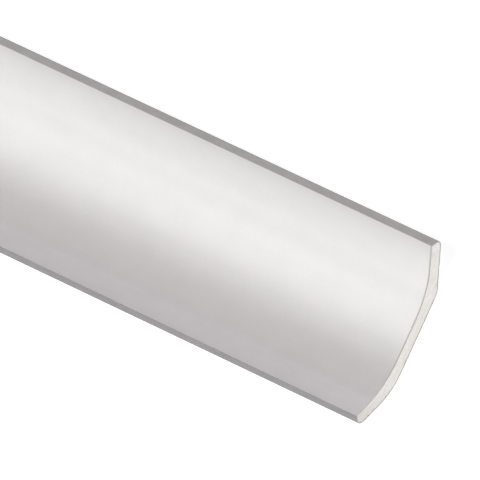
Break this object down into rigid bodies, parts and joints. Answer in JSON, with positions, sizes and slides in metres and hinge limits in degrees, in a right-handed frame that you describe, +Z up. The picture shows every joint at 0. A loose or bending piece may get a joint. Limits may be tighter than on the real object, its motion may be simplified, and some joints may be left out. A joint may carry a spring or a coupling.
{
  "type": "plaster coving",
  "caption": "Length of paper-faced plaster coving with a C-shaped section, smooth ivory hollow face, grey paper back and bare plaster ends.",
  "frame": {"origin": "on the floor under the middle of the piece: half way along its length and half way across its width", "axes": "+X along the length, +Y across towards the wall leg, +Z up from the flat back to the hollow face"},
  "size_m": [2, 0.1202, 0.042],
  "materials": {
    "plaster": "matt, fine open grain where it is sawn",
    "face_liner": "smooth ivory paper, matt",
    "back_liner": "plain grey fibre paper, matt"
  },
  "bodies": {
    "root": {"plaster_core": "plaster", "face_paper": "face_liner", "back_paper": "back_liner"}
  },
  "joints": []
}
